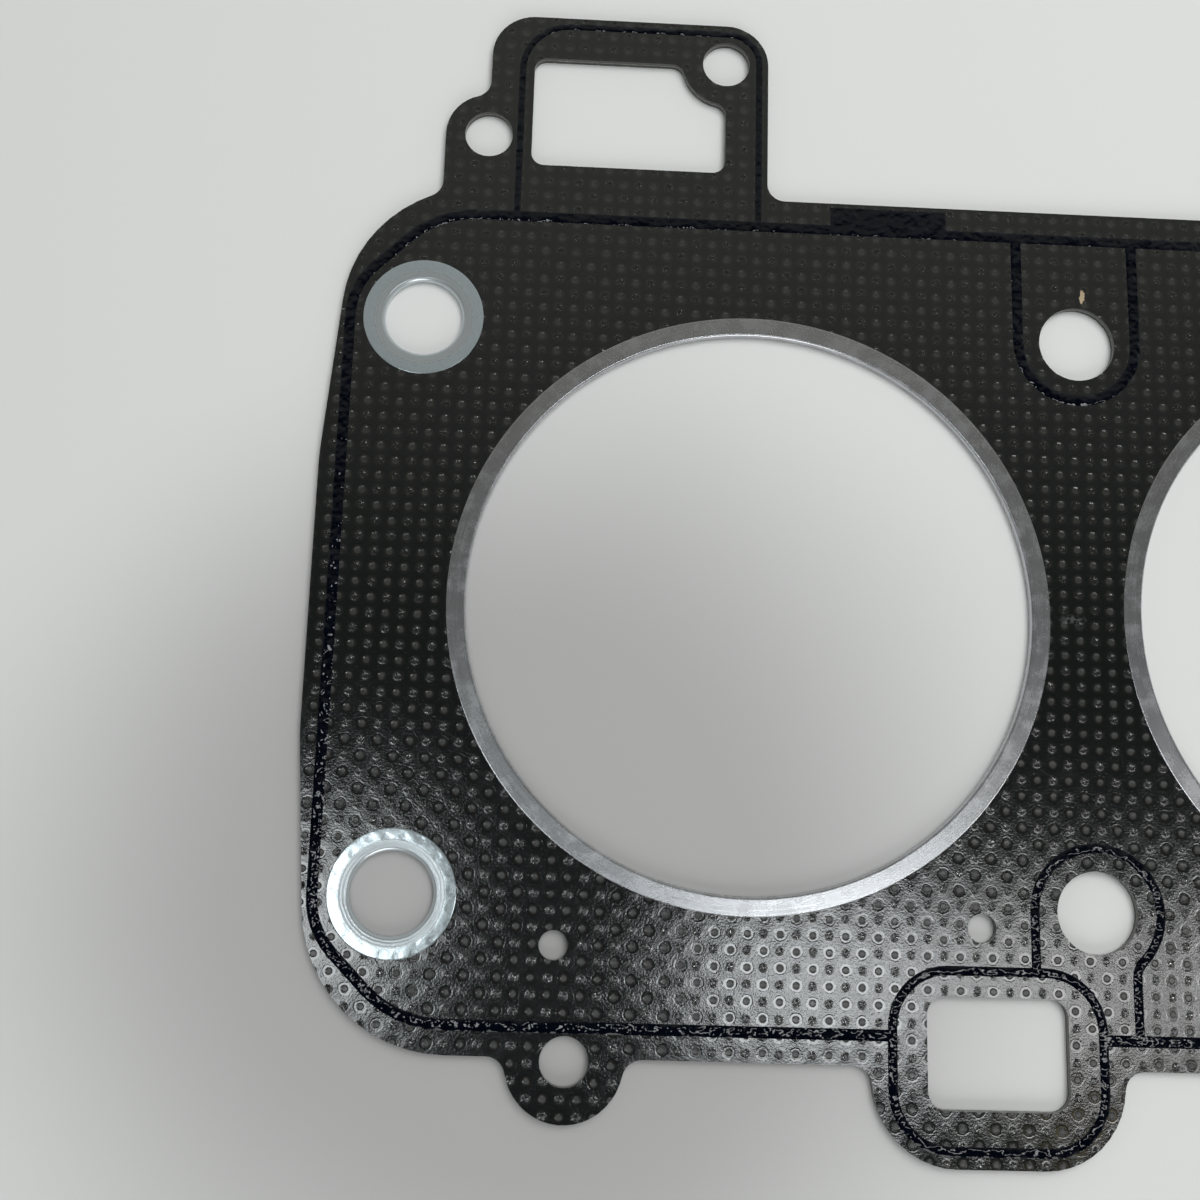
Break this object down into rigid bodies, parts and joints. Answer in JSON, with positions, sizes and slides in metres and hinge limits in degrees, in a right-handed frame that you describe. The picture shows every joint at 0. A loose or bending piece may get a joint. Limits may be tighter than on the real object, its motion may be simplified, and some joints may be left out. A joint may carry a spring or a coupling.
{
  "type": "cylinder head gasket",
  "caption": "Composite cylinder head gasket: graphite facings on a steel core, folded steel fire rings and eyelets, and a printed sealing bead.",
  "frame": {"origin": "on the axis of cylinder 1, at half the gasket's thickness", "axes": "+X along the row of cylinders towards cylinder 4, +Y towards the tab side, +Z towards the cylinder head"},
  "size_m": [0.5142, 0.205, 0.0018],
  "materials": {
    "core_steel": "tanged mild steel sheet, hidden in the laminate",
    "graphite": "pressed expanded graphite sheet with an anti-stick coat, satin",
    "ring_steel": "stainless strip, rolled and burnished",
    "eyelet_steel": "zinc-coated steel, matt and blue-grey",
    "bead_rubber": "screen-printed fluoroelastomer, blue-black and glossy"
  },
  "bodies": {
    "root": {"steel_core": "core_steel", "upper_facing": "graphite", "lower_facing": "graphite", "fire_ring_1": "ring_steel", "fire_ring_2": "ring_steel", "fire_ring_3": "ring_steel", "fire_ring_4": "ring_steel", "bolt_eyelet_1": "eyelet_steel", "bolt_eyelet_2": "eyelet_steel", "bolt_eyelet_3": "eyelet_steel", "bolt_eyelet_4": "eyelet_steel", "upper_bead": "bead_rubber", "lower_bead": "bead_rubber"}
  },
  "joints": []
}
